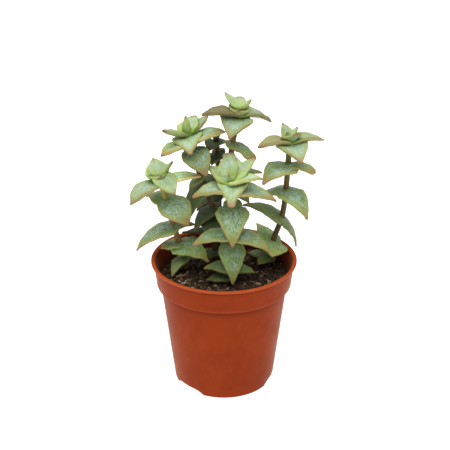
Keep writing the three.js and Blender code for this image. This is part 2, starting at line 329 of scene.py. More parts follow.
    def ramp(self, share: object, stops: list[tuple[float, Colour]]) -> Socket:
        """A colour read off a ramp.

        Args:
            share: Where on the ramp, from 0 to 1.
            stops: Each colour with its place on the ramp.

        Returns:
            The colour.
        """
        node = self.node("ValToRGB", {"Fac": share})
        marks = node.color_ramp.elements
        while len(marks) < len(stops):
            marks.new(0.5)
        for mark, (where, colour) in zip(marks, stops):
            mark.position = where
            mark.color = (*colour, 1.0)
        return node.outputs["Color"]

    def bump(self, height: Socket, depth: float) -> None:
        """Raises the surface by a pattern.

        Args:
            height: The pattern, from 0 to 1.
            depth: How many millimetres a height of 1 stands proud.
        """
        values = {"Strength": 1.0, "Distance": depth * MM, "Height": height}
        self.set("Normal", self.node("Bump", values).outputs["Normal"])


@dataclass(frozen=True)
class LeafFinish:
    """Leaf tissue: pale and bloomed when young, dark green when old, with tan margins and brown tips, and
    with painted light and shade from each leaf's tone and from the shaded end of the age ramp.
    """

    bud: Colour = srgb(170, 186, 114)
    young: Colour = srgb(156, 178, 134)
    grown: Colour = srgb(131, 158, 107)
    old: Colour = srgb(126, 152, 98)
    oldest: Colour = srgb(122, 142, 84)
    shaded: Colour = srgb(38, 54, 18)
    bloom: Colour = srgb(165, 187, 182)
    chalk: Colour = srgb(158, 181, 147)
    fleck: Colour = srgb(66, 100, 48)
    speck: Colour = srgb(184, 202, 186)
    streak: Colour = srgb(118, 146, 78)
    lime: Colour = srgb(128, 168, 50)
    yellow: Colour = srgb(156, 162, 84)
    spring: Colour = srgb(174, 194, 98)
    olive: Colour = srgb(128, 126, 56)
    band: Colour = srgb(158, 148, 94)
    flush: Colour = srgb(148, 134, 84)
    margin: Colour = srgb(116, 80, 54)
    tip: Colour = srgb(148, 104, 70)
    point: Colour = srgb(90, 56, 42)
    underside: Colour = srgb(112, 122, 60)
    tan_underside: Colour = srgb(148, 128, 80)

    def make(self) -> Material:
        """Makes the material.

        Returns:
            A material that reads the marks that each leaf carries.
        """
        sheet = ShaderSheet("leaf_tissue")
        age, along, rim, under, blush, tan, tone = (
            sheet.attribute(name) for name in ("age", "along", "rim", "under", "blush", "tan", "tone")
        )
        span, noise_of, coat = sheet.span, sheet.noise, sheet.coat
        # the ramp's last stop, shaded, is painted shade: stems whose eldest goes past the oldest stop darken
        # their lowest leaves towards it
        stops = [
            (0.0, self.bud), (0.13, self.young), (0.4, self.grown),
            (0.7, self.old), (0.86, self.oldest), (1.0, self.shaded),
        ]
        base = sheet.ramp(age, stops)
        # the bud's leaves are chalky grey-green on their upper faces, away from the base
        upper = (under, 0.1, 0.6, 0.75, 0.3)
        base = coat(base, self.chalk, (along, 0.2, 0.55), upper, (age, 0.05, 0.12, 1.0, 0.0))
        # darker lengthwise streaks, as the veins show through the young leaves
        veins = (noise_of(1.5, 3.0, 0.6, 0.3, sheet.grain(5.0)), 0.44, 0.62)
        base = coat(base, self.streak, veins, (age, 0.25, 0.6, 0.5, 0.0), (age, 0.0, 0.05, 0.3, 1.0))
        # broad, soft patches of blue-grey bloom on the upper face, off the margins and the tip
        patches = (noise_of(3.6, 1.0, 0.5, 0.4), 0.38, 0.62)
        colour = coat(
            base, self.bloom, (rim, 0.4, 2.6), (along, 0.5, 1.0, 1.0, 0.2), patches,
            (age, 0.02, 0.16, 0.4, 0.7), (age, 0.6, 0.95, 1.0, 0.0),
        )
        # olive stains on the older leaves, and greener clouds
        stains = (noise_of(4.2, 3.0, 0.6, 0.6), 0.5, 0.72)
        colour = coat(colour, self.olive, stains, (age, 0.1, 0.4, 0.12, 0.5))
        greener = sheet.mix(0.35, base, self.fleck)
        colour = coat(colour, greener, (noise_of(2.6, 2.0, 0.6, 0.8), 0.48, 0.68, 0.0, 0.45))
        # fine dark flecks and finer pale specks
        flecks = (noise_of(0.62, 2.0, 0.7, 0.4, sheet.grain(1.9)), 0.49, 0.59)
        crowds = (noise_of(3.0), 0.3, 0.6, 0.4, 1.0)
        colour = coat(colour, self.fleck, flecks, (age, 0.0, 0.35, 0.2, 0.8), crowds)
        specks = (sheet.dots(0.75), 0.3, 0.1)
        colour = coat(colour, self.speck, specks, (age, 0.0, 0.3, 0.06, 0.22), (age, 0.7, 1.0, 1.0, 0.3))
        # yellower towards the margin, and olive towards the tip
        reach = sheet.roughened(rim, 2.4, 1.6)
        warm = sheet.mix(span(age, 0.01, 0.08), self.spring, self.yellow)
        edging = (reach, 1.0, 2.6, 1.0, 0.0)
        colour = coat(colour, warm, edging, (age, 0.5, 0.95, 0.6, 0.0), (age, 0.0, 0.1, 0.55, 1.0))
        far = (sheet.roughened(along, 3.0, 0.3), 0.62, 1.15, 0.0, 0.85)
        colour = coat(colour, self.olive, far, (age, 0.03, 0.2), (age, 0.75, 1.0, 1.0, 0.3))
        # lime where the young leaves meet round the stem
        colour = coat(colour, self.lime, (along, 0.02, 0.22, 0.6, 0.0), (age, 0.1, 0.22, 1.0, 0.0))
        # the underside, tanned towards the tip where the leaf is ripe
        ripe = sheet.times(span(age, 0.015, 0.065), span(age, 0.3, 0.8, 1.0, 0.15))
        below = coat(self.underside, self.tan_underside, (along, 0.2, 0.5), (age, 0.1, 0.35, 1.0, 0.0), ripe)
        below = coat(colour, below, (age, 0.02, 0.1, 0.1, 0.65))
        colour = coat(colour, below, (under, 0.66, 0.95))
        # some wings are tanned over most of their face
        colour = coat(colour, self.flush, tan, (along, 0.05, 0.3), (noise_of(2.2), 0.2, 0.6, 0.7, 1.0))
        # a tan flush inside the margin, wider towards the tip, that fades as the leaf ages
        inwards = sheet.math("SUBTRACT", reach, sheet.times(along, 0.8))
        colour = coat(colour, self.flush, (inwards, 0.0, 1.4, 0.6, 0.0), (along, 0.15, 0.6), ripe)
        # thick margin: a tan face between two darker lines
        tanned = sheet.times(
            span(noise_of(3.0), 0.3, 0.62, 0.35, 0.85), span(along, 0.0, 0.3, 0.3, 1.0),
            sheet.math("ADD", sheet.times(ripe, 0.85), 0.15),
        )
        colour = coat(colour, self.band, (under, 0.02, 0.3), (under, 0.7, 0.98, 1.0, 0.0), tanned)
        colour = coat(colour, self.margin, (rim, 0.06, 0.22, 0.85, 0.0), tanned, (along, 0.1, 0.8, 0.6, 1.0))
        # brown tip, with a dark point
        end = sheet.roughened(along, 1.6, 0.2)
        colour = coat(colour, self.tip, (end, 0.84, 1.1), blush)
        colour = coat(colour, self.point, (end, 1.03, 1.12), blush)
        # painted light and shade: the colour is multiplied by the leaf's tone, below 1 where it sits in the
        # plant's shade and above 1 where it should catch more light
        colour = sheet.mix(1.0, colour, tone, "MULTIPLY")
        sheet.set("Base Color", colour)
        sheet.set("Roughness", sheet.span(sheet.noise(1.8), 0.3, 0.7, 0.46, 0.62))
        sheet.set("Specular IOR Level", 0.3)
        sheet.set("Subsurface Weight", 0.1)
        sheet.set("Subsurface Radius", (0.6, 1.0, 0.25))
        sheet.set("Subsurface Scale", 0.0006)
        sheet.bump(sheet.roughened(sheet.noise(0.5), 2.0, 2.0), 0.035)
        return sheet.material


@dataclass(frozen=True)
class StalkFinish:
    """The stems' bark: olive at the top, red-brown to dark brown lower down, times each stem's tone, which is
    partly painted light and shade.
    """

    top: Colour = srgb(140, 144, 62)
    middle: Colour = srgb(126, 104, 50)
    foot: Colour = srgb(100, 82, 46)
    flush: Colour = srgb(116, 70, 34)

    def make(self) -> Material:
        """Makes the material.

        Returns:
            A material that reads the stalk's age, and its tone, which is partly painted light and shade.
        """
        sheet = ShaderSheet("stem_bark")
        stops = [(0.0, self.top), (0.16, self.top), (0.45, self.middle), (1.0, self.foot)]
        base = sheet.ramp(sheet.attribute("age"), stops)
        streaks = sheet.noise(0.5, 3.0, 0.6, 0.0, sheet.stretched((1.0, 1.0, 0.16)))
        colour = sheet.coat(base, self.flush, (streaks, 0.35, 0.7, 0.0, 0.5))
        colour = sheet.coat(colour, self.foot, (sheet.noise(3.5), 0.45, 0.7, 0.0, 0.35))
        # each stem's tone, partly painted light and shade: lighter where the stem should catch light, darker
        # for the stems at the back
        colour = sheet.mix(1.0, colour, sheet.attribute("tone"), "MULTIPLY")
        sheet.set("Base Color", colour)
        sheet.set("Roughness", 0.6)
        sheet.set("Specular IOR Level", 0.3)
        sheet.bump(streaks, 0.08)
        return sheet.material


@dataclass(frozen=True)
class PotFinish:
    """Moulded terracotta-coloured plastic, slightly glossy, with painted highlights and painted shade at the
    lip and the step, a darker inner wall as painted shade, and soil smeared above the soil line inside,
    darkened further as painted shade.
    """

    plastic: Colour = srgb(138, 50, 18)
    deep: Colour = srgb(131, 46, 15)
    # painted highlight, laid along the lip and the step
    bright: Colour = srgb(176, 80, 40)
    scuff: Colour = srgb(196, 106, 56)
    # painted shade, laid in the corner under the lip and under the step
    shade: Colour = srgb(88, 27, 8)
    # painted shade: a darker copy of the plastic for the inner wall
    inner: Colour = srgb(118, 36, 27)
    # soil dust on the inner wall, darkened further as painted shade
    dust_and_shade: Colour = srgb(74, 34, 26)
    lip: float = POT_HEIGHT
    step: float = 44.4

    def make(self) -> Material:
        """Makes the material.

        Returns:
            The pot's plastic.
        """
        sheet = ShaderSheet("pot_plastic")
        colour = sheet.coat(self.plastic, self.deep, (sheet.noise(14, 3.0, 0.55, 0.5), 0.35, 0.65))
        scuffs = sheet.noise(1.1, 4.0, 0.65, 0.0, sheet.stretched((1.0, 1.0, 0.35)))
        colour = sheet.coat(colour, self.scuff, (scuffs, 0.56, 0.8, 0.0, 0.16))
        # painted highlights along the lip and the step, with painted shade in the corner under each
        level = sheet.height()
        lines = (
            (self.lip - 0.5, 0.9, 0.75, self.bright),
            (self.step + 0.35, 0.9, 0.25, self.bright),
            (self.lip - 1.35, 0.8, 0.6, self.shade),
            (self.step - 0.75, 0.8, 0.5, self.shade),
            (self.step - 1.2, 2.6, 0.3, self.shade),
        )
        for height, reach, strength, line in lines:
            near = sheet.math("ABSOLUTE", sheet.math("SUBTRACT", level, height * MM), 0.0)
            colour = sheet.coat(colour, line, (near, 0.2 * MM, reach * MM, strength, 0.0))
        # painted shade: the inner wall takes a darker copy of the plastic below the lip, and soil dust,
        # darkened further as painted shade, fades upwards from the soil
        inside = sheet.attribute("inside")
        inner_shade = (level, (self.lip - 3.2) * MM, (self.lip - 0.4) * MM, 0.95, 0.0)
        colour = sheet.coat(colour, self.inner, inner_shade, inside)
        # soil dust with painted shade, rising unevenly from the soil
        dust_and_shade_level = sheet.roughened(level, 2.4, 6 * MM, 3.0)
        low, high = (SOIL_TOP + 2.5) * MM, (SOIL_TOP + 8.5) * MM
        colour = sheet.coat(colour, self.dust_and_shade, (dust_and_shade_level, low, high, 0.85, 0.0), inside)
        sheet.set("Base Color", colour)
        sheet.set("Roughness", sheet.span(sheet.noise(5.0, 3.0), 0.3, 0.7, 0.4, 0.5))
        sheet.set("Specular IOR Level", 0.04)
        sheet.set("Sheen Weight", 0.12)
        sheet.set("Sheen Roughness", 0.4)
        sheet.set("Sheen Tint", (1.0, 0.6, 0.25, 1.0))
        sheet.bump(sheet.noise(0.35, 2.0, 0.5), 0.012)
        return sheet.material


@dataclass(frozen=True)
class SoilFinish:
    """Dark potting soil, almost black in its hollows and brown on its crumbs."""

    black: Colour = srgb(20, 15, 11)
    brown: Colour = srgb(68, 52, 36)
    russet: Colour = srgb(88, 54, 34)
    ochre: Colour = srgb(128, 104, 66)
    tan: Colour = srgb(158, 130, 92)
    grey: Colour = srgb(126, 118, 108)

    def make(self, name: str, loose: bool) -> Material:
        """Makes the material.

        Args:
            name: The material's name.
            loose: Whether it is for the loose crumbs, which carry a tone attribute.

        Returns:
            The soil's material.
        """
        sheet = ShaderSheet(name)
        colour = sheet.coat(self.black, self.brown, (sheet.noise(1.3, 4.0, 0.65, 0.3), 0.35, 0.68))
        if loose:
            stops = [
                (0.0, self.black), (0.5, self.brown), (0.72, self.russet),
                (0.84, self.ochre), (0.94, self.tan), (1.0, self.grey),
            ]
            colour = sheet.mix(0.8, colour, sheet.ramp(sheet.attribute("tone"), stops))
        colour = sheet.coat(colour, self.tan, (sheet.noise(0.3), 0.62, 0.74, 0.0, 0.4))
        sheet.set("Base Color", colour)
        sheet.set("Roughness", 0.9)
        sheet.set("Specular IOR Level", 0.2)
        sheet.bump(sheet.noise(0.4, 4.0, 0.7), 0.15)
        return sheet.material


@dataclass(frozen=True)
class FibreFinish:
    """Pale root and straw fibres on the soil."""

    pale: Colour = srgb(196, 178, 150)
    brown: Colour = srgb(126, 94, 64)

    def make(self) -> Material:
        """Makes the material.

        Returns:
            The fibres' material.
        """
        sheet = ShaderSheet("fibre")
        sheet.set("Base Color", sheet.coat(self.pale, self.brown, (sheet.noise(1.6), 0.35, 0.65)))
        sheet.set("Roughness", 0.7)
        return sheet.material


@dataclass(frozen=True)
class FloorFinish:
    """A plain white studio floor, lit a little from below as a light table is."""

    paper: Colour = (0.4, 0.4, 0.4)
    greyer: Colour = (0.3, 0.3, 0.3)
    glow: float = 0.92

    def make(self) -> Material:
        """Makes the material.

        Returns:
            The floor's material.
        """
        sheet = ShaderSheet("studio_floor")
        sheet.set("Base Color", sheet.coat(self.paper, self.greyer, (sheet.noise(60), 0.3, 0.7, 0.0, 0.02)))
        sheet.set("Roughness", 0.9)
        sheet.set("Specular IOR Level", 0.1)
        sheet.set("Emission Color", (1.0, 1.0, 1.0))
        sheet.set("Emission Strength", self.glow)
        return sheet.material


def placed(name: str, data: bpy.types.ID) -> Piece:
    """A new object of the scene that shows some data.

    Args:
        name: The object's name.
        data: Its mesh, lamp or camera.

    Returns:
        The object.
    """
    piece = bpy.data.objects.new(name, data)
    bpy.context.scene.collection.objects.link(piece)
    return piece


def as_piece(
    name: str,
    shape: Shape,
    finishes: list[Material],
    slot: Slot | None = None,
    stands_for: NodeName | None = None,
) -> Piece:
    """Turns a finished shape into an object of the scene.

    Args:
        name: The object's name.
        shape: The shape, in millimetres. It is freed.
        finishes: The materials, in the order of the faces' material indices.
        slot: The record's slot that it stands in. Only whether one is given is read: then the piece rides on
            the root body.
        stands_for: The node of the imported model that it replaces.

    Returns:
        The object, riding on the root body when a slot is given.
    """
    bmesh.ops.scale(shape, vec=(MM, MM, MM), verts=shape.verts)
    mesh = bpy.data.meshes.new(name)
    shape.to_mesh(mesh)
    shape.free()
    for face in mesh.polygons:
        face.use_smooth = True
    for finish in finishes:
        mesh.materials.append(finish)
    piece = placed(name, mesh)
    if slot is not None:
        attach(piece, "root")
    if stands_for is not None:
        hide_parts(stands_for.value)
    LOG.info("%s: %d vertices, %d faces", name, len(mesh.vertices), len(mesh.polygons))
    return piece


def turned(section: list[tuple[float, float]], segments: int) -> Shape:
    """Turns a section once round the upright axis.

    Args:
        section: The radius and height of each corner.
        segments: How many steps the turn takes.

    Returns:
        The closed solid.
    """
    shape = bmesh.new()
    line = [shape.verts.new((radius, 0, height)) for radius, height in section]
    for first, second in zip(line, line[1:]):
        shape.edges.new((first, second))
    bmesh.ops.spin(
        shape, geom=list(shape.verts) + list(shape.edges), cent=(0, 0, 0), axis=(0, 0, 1),
        angle=2 * math.pi, steps=segments, use_merge=True,
    )
    bmesh.ops.remove_doubles(shape, verts=shape.verts, dist=WELD)
    bmesh.ops.recalc_face_normals(shape, faces=shape.faces)
    return shape


def add_tube(
    shape: Shape, rings: list[tuple[Matrix, float]], sides: int
) -> list[list[Vert]]:
    """Adds a closed tube.

    Args:
        shape: The shape that it is added to.
        rings: Where each ring stands, and its radius.
        sides: How many corners a ring has.

    Returns:
        The vertices of each ring.
    """
    made: list[list[Vert]] = []
    last: list[bmesh.types.BMEdge] = []
    for i, (place, radius) in enumerate(rings):
        ends = i in (0, len(rings) - 1)
        circle = bmesh.ops.create_circle(shape, cap_ends=ends, segments=sides, radius=radius, matrix=place)
        ring = circle["verts"]
        edges = list({edge for vert in ring for edge in vert.link_edges})
        if last:
            bmesh.ops.bridge_loops(shape, edges=last + edges)
        last = edges
        made.append(ring)
    return made


@dataclass(frozen=True)
class Leaf:
    """One leaf: the compass turn it points in, its length, its rise above the stem's square where it leaves
    the stem, the angle it droops by along its length, its width where that isn't the usual share, the width
    of its base as a share of that, how wide its blunt tip is, how late along its length it droops, how wavy
    its margins are, and how tanned its face is."""

    turn: float
    length: float
    rise: float
    droop: float
    width: float | None = None
    waist: float = 0.74
    tip: float = 1.2
    lateness: float = 1.4
    wave: float = 0.12
    tan: float = 0.0


@dataclass(frozen=True)
class Pair:
    """The leaves that share one node of a stem, at a height above the soil, and their tone, painted light and
    shade
    that their colour is multiplied by: 1 as usual, less where they sit in shade, more where they catch light."""

    height: float
    leaves: tuple[Leaf, ...]
    tone: float = 1.0


class LeafBlank:
    """The plain block that a leaf is shaped from, cut along, across and through."""

    def __init__(self, along: int, across: int, through: int) -> None:
        """Makes the block once, with the given numbers of cuts.

        Args:
            along: Cuts along the leaf.
            across: Cuts across it.
            through: Cuts through its thickness.
        """
        self.block = bmesh.new()
        bmesh.ops.create_cube(self.block, size=2.0)
        for axis, cuts in enumerate((along, across, through)):
            edges = [e for e in self.block.edges if abs((e.verts[0].co - e.verts[1].co)[axis]) > 1e-6]
            bmesh.ops.subdivide_edges(self.block, edges=edges, cuts=cuts, use_grid_fill=True)
        for name in LEAF_MARKS:
            self.block.verts.layers.float.new(name)


@dataclass
class LeafForm:
    """How every leaf of the plant is shaped."""

    edge: float = 1.1
    thinning: float = 0.2
    keel: float = 0.9
    roll: float = 0.2
    width_ratio: float = 0.8
    widest: float = 13.6
    shoulder: float = 0.2
    waisted_shoulder: float = 0.4
    tip_length: float = 0.9
    young_cup: float = 0.22
    small_cup: float = 0.36
    fold: float = 0.5
    fold_start: float = 0.35
    folded_waist: float = 0.5
    old_cup: float = -0.15
    young_edge: float = 1.4
    young_depth: float = 7.0
    root: float = 1.0
    small_length: float = 10.5
    large_power: float = 1.2
    small_power: float = 1.7
    cup_power: float = 1.5
    tip_crowding: float = 1.25
    margin_crowding: float = 1.7
    bluntness: float = 0.04
    thinnest: float = 0.6
    wave_rate: float = 1.25
    wave_shift: float = 2.0
    ripple: float = 0.012
    ripple_rate: float = 1.7
    unevenness: float = 0.12
    uneven_rate: float = 0.35
    seed_range: float = 50.0
    blush_range: tuple[float, float] = (0.6, 1.0)
    blush_loss: float = 0.75
    blush_least: float = 0.25
    blush_length: float = 12.0
    steps: int = 60
    blank: LeafBlank = field(default_factory=lambda: LeafBlank(19, 9, 2))

    def outline(self, leaf: Leaf, share: float) -> float:
        """Half of the width at a share of the length, as a share of the widest half.

        Args:
            leaf: The leaf.
            share: The share of the leaf's length.

        Returns:
            The share of the widest half.
        """
        waisted = leaf.waist < 0.7
        shoulder = self.waisted_shoulder if waisted else self.shoulder
        if share < shoulder:
            return leaf.waist + (1 - leaf.waist) * math.sin(math.pi / 2 * share / shoulder)
        power = self.small_power if waisted or leaf.length < self.small_length else self.large_power
        return 1 - ((share - shoulder) / (1 - shoulder)) ** power

    def midrib(self, leaf: Leaf) -> list[Triple]:
        """The midrib's points: how far out and up each is from the stem's axis, and its slope.

        Args:
            leaf: The leaf.

        Returns:
            One point for each equal step along the leaf.
        """
        points = []
        out = up = 0.0
        for i in range(self.steps + 1):
            slope = math.radians(leaf.rise - leaf.droop * (i / self.steps) ** leaf.lateness)
            points.append((out, up, slope))
            out += math.cos(slope) * leaf.length / self.steps
            up += math.sin(slope) * leaf.length / self.steps
        return points

    def at(self, points: list[Triple], reach: float, length: float) -> Triple:
        """The midrib at a distance along it.

        Args:
            points: The midrib's points.
            reach: The distance from the stem's axis, below 0 behind it.
            length: The leaf's length.

        Returns:
            How far out and up it is, and its slope.
        """
        if reach <= 0:
            slope = points[0][2]
            return reach * math.cos(slope), reach * math.sin(slope), slope
        place = min(reach / length, 1.0) * self.steps
        i = min(int(place), self.steps - 1)
        mix = place - i
        low, high = points[i], points[i + 1]
        return tuple(a + (b - a) * mix for a, b in zip(low, high))

    def shape(
        self, leaf: Leaf, age: float, tone: float, below: float, frame: Matrix, rng: random.Random
    ) -> Shape:
        """Shapes one leaf out of the blank.

        Args:
            leaf: The leaf.
            age: How old it is, from 0 to 1.
            tone: Painted light and shade that its colour is multiplied by, about 1.
            below: How far its node is below the stem's top.
            frame: Where it stands, with X out from the stem, Y across and Z up the stem.
            rng: The stem's own seeded random numbers.

        Returns:
            The leaf, in millimetres.
        """
        shape = self.blank.block.copy()
        layers = [shape.verts.layers.float[name] for name in LEAF_MARKS]
        young = below < self.young_depth
        folded = young and leaf.waist <= self.folded_waist
        if folded:
            cup = self.fold
        elif young:
            cup = self.small_cup if leaf.length < self.small_length else self.young_cup
        else:
            cup = self.old_cup
        thick = self.young_edge if young and leaf.length > self.small_length else self.edge
        width = leaf.width or min(self.widest, self.width_ratio * leaf.length)
        points = self.midrib(leaf)
        rounding = self.tip_length + leaf.tip / 3
        seed = Vector([rng.uniform(-self.seed_range, self.seed_range) for _ in range(3)])
        phase = rng.uniform(0, 2 * math.pi)
        growth = min(1.0, self.blush_least + leaf.length / self.blush_length)
        blush = rng.uniform(*self.blush_range) * (1 - self.blush_loss * age) * growth
        for vert in shape.verts:
            u, y, z = vert.co
            reach = -self.root + (leaf.length + self.root) * (1 - ((1 - u) / 2) ** self.tip_crowding)
            share = max(reach, 0.0) / leaf.length
            part = self.outline(leaf, share)
            into_tip = max(0.0, 1 - (leaf.length - reach) / rounding)
            half = max(width / 2 * part, leaf.tip / 2) * math.sqrt(max(self.bluntness, 1 - into_tip**2))
            side = math.copysign(1 - (1 - abs(y)) ** self.margin_crowding, y)
            depth = (1 - z) / 2
            lift = cup * half * (1 - share) * (min(1.0, share / self.fold_start) if folded else 1.0)
            fullness = self.thinnest + (1 - self.thinnest) * min(1.0, 2.5 * part)
            edge = thick * (1 - self.thinning * (1 - part)) * fullness
            top = lift * abs(side) ** self.cup_power
            bottom = lift - edge - (self.keel * part + lift) * (1 - abs(side) ** self.cup_power)
            wave = math.sin(self.wave_rate * reach + phase + (self.wave_shift if y > 0 else 0.0))
            rise = top + (bottom - top) * depth + leaf.wave * abs(side) ** 3 * wave
            across = half * side * (1 + self.ripple * math.sin(self.ripple_rate * reach + phase))
            rim = half * (1 - abs(side))
            if abs(y) > ON_MARGIN:
                across += math.copysign(self.roll * (1 - abs(2 * depth - 1)), y)
                rim = edge * min(depth, 1 - depth)
            out, up, slope = self.at(points, reach, leaf.length)
            spot = Vector((out - rise * math.sin(slope), across, up + rise * math.cos(slope)))
            spot += self.unevenness * noise.noise_vector(spot * self.uneven_rate + seed)
            vert.co = frame @ spot
            marks = (age, share, rim, depth, blush, reach, across, tone, leaf.tan)
            for layer, mark in zip(layers, marks):
                vert[layer] = mark
        bmesh.ops.recalc_face_normals(shape, faces=shape.faces)
        return shape


@dataclass
class LeafyStem:
    """One stem with its pairs of leaves, from its root in the soil to its bud.

    It stands upright at its foot, and then passes through each bend's place to the right and height.
    """

    node: NodeName
    foot: tuple[float, float]
    bends: tuple[tuple[float, float], ...]
    pairs: tuple[Pair, ...]
    youngest: float = 0.0
    # ages past 0.86 reach the painted shade at the end of the leaf ramp
    eldest: float = 0.86
    ageing: float = 38.0
    fresh: float = 0.0
    # painted light and shade that every leaf's colour is multiplied by, below 1 for a stem in shade
    tone: float = 1.0
    # the stalk's colour multiplier: partly its own tone, partly painted light and shade
    stalk_tone: float = 1.0
    radius: float = 1.15
    stoutness: float = 1.05
    swelling: float = 0.14
    swell_size: float = 0.9
    waviness: float = 0.04
    wave_rate: float = 2.3
    root: float = 6.0
    upright: float = 3.0
    rings: int = 60
    sides: int = 14
    form: LeafForm = field(default_factory=LeafForm)

    def points(self) -> list[Vector]:
        """The points that the stem passes through, the first one in the soil.

        Returns:
            The points, in millimetres.
        """
        x, y = self.foot
        line = ((x, -self.root), (x, 0.0), (x, self.upright), *self.bends)
        return [Vector((right, y, SOIL_TOP + height)) for right, height in line]

    def at(self, share: float) -> Vector:
        """A point of the smooth curve through the stem's points, which has no loops.

        Args:
            share: Where on the curve, from 0 to 1.

        Returns:
            The point, in millimetres.
        """
        points = self.points()
        place = share * (len(points) - 1)
        i = min(int(place), len(points) - 2)
        t = place - i
        b, c = points[i], points[i + 1]
        a = points[i - 1] if i > 0 else 2 * b - c
        d = points[i + 2] if i + 2 < len(points) else 2 * c - b
        before, here, after = (math.sqrt((q - p).length) for p, q in ((a, b), (b, c), (c, d)))
        start = ((b - a) / before - (c - a) / (before + here) + (c - b) / here) * here
        end = ((c - b) / here - (d - b) / (here + after) + (d - c) / after) * here
        t2, t3 = t * t, t * t * t
        return (2 * t3 - 3 * t2 + 1) * b + (t3 - 2 * t2 + t) * start + (3 * t2 - 2 * t3) * c + (t3 - t2) * end

    def share_at(self, height: float) -> float:
        """The curve's share at a height above the soil.

        Args:
            height: The height.

        Returns:
            The share.
        """
        low, high = 0.0, 1.0
        for _ in range(30):
            middle = (low + high) / 2
            if self.at(middle).z < SOIL_TOP + height:
                low = middle
            else:
                high = middle
        return low

    def heading(self, share: float) -> Vector:
        """The stem's direction at a share of the curve."""
        step = 1e-4
        return (self.at(min(share + step, 1.0)) - self.at(max(share - step, 0.0))).normalized()

    def leaf_frame(self, height: float, turn: float) -> Matrix:
        """Where a leaf stands.

        Args:
            height: Its node's height above the soil.
            turn: The compass turn that it points in.

        Returns:
            X out from the stem, Y across and Z up the stem, at the node.
        """
        share = self.share_at(height)
        up = self.heading(share)
        right = (Vector((1, 0, 0)) - up * up.x).normalized()
        away = up.cross(right)
        out = right * math.cos(math.radians(turn)) + away * math.sin(math.radians(turn))
        across = up.cross(out)
        frame = Matrix((out, across, up)).transposed().to_4x4()
        frame.translation = self.at(share)
        return frame

    def age_at(self, height: float) -> float:
        """How old a leaf is at a height, from 0 at the bud to 1."""
        below = self.bends[-1][1] - self.fresh - height
        return min(self.eldest, max(self.youngest, below / self.ageing))

    def girth(self, z: float) -> float:
        """The stalk's radius at a height above the pot's underside, a little more below each pair.

        Args:
            z: The height.

        Returns:
            The radius.
        """
        gaps = [(z - SOIL_TOP - pair.height + self.swell_size) / self.swell_size for pair in self.pairs]
        swell = min(sum(math.exp(-(gap**2)) for gap in gaps), 1.0)
        wave = 1 + self.waviness * math.sin(self.wave_rate * z)
        return self.radius * (self.stoutness + self.swelling * swell) * wave

    def make_stalk(self) -> Shape:
        """Makes the stalk, a tube along the curve.

        Returns:
            The stalk, in millimetres.
        """
        shape = bmesh.new()
        layers = {name: shape.verts.layers.float.new(name) for name in LEAF_MARKS}
        rings = []
        for i in range(self.rings + 1):
            spot = self.at(i / self.rings)
            turn = self.heading(i / self.rings).to_track_quat("Z", "X").to_matrix().to_4x4()
            rings.append((Matrix.Translation(spot) @ turn, self.girth(spot.z)))
        for (place, _), ring in zip(rings, add_tube(shape, rings, self.sides)):
            for vert in ring:
                vert[layers["age"]] = self.age_at(place.translation.z - SOIL_TOP)
                vert[layers["tone"]] = self.stalk_tone
        bmesh.ops.recalc_face_normals(shape, faces=shape.faces)
        return shape

    def build(self, leaf_finish: Material, stalk_finish: Material) -> Piece:
        """Builds the stem and its leaves as one piece.

        Args:
            leaf_finish: The leaves' material.
            stalk_finish: The stalk's material.

        Returns:
            The piece.
        """
        rng = random.Random(self.node.value)
        shape = self.make_stalk()
        for face in shape.faces:
            face.material_index = 1
        for pair in self.pairs:
            for leaf in pair.leaves:
                frame = self.leaf_frame(pair.height, leaf.turn)
                age, below = self.age_at(pair.height), self.bends[-1][1] - pair.height
                made = self.form.shape(leaf, age, pair.tone * self.tone, below, frame, rng)
                carrier = bpy.data.meshes.new("leaf")
                made.to_mesh(carrier)
                made.free()
                shape.from_mesh(carrier)
                bpy.data.meshes.remove(carrier)
        piece = as_piece(self.node.value + "_leafy", shape, [leaf_finish, stalk_finish], Slot.LEAF, self.node)
        smooth = piece.modifiers.new("smooth", "SUBSURF")
        smooth.levels = smooth.render_levels = 1
        return piece


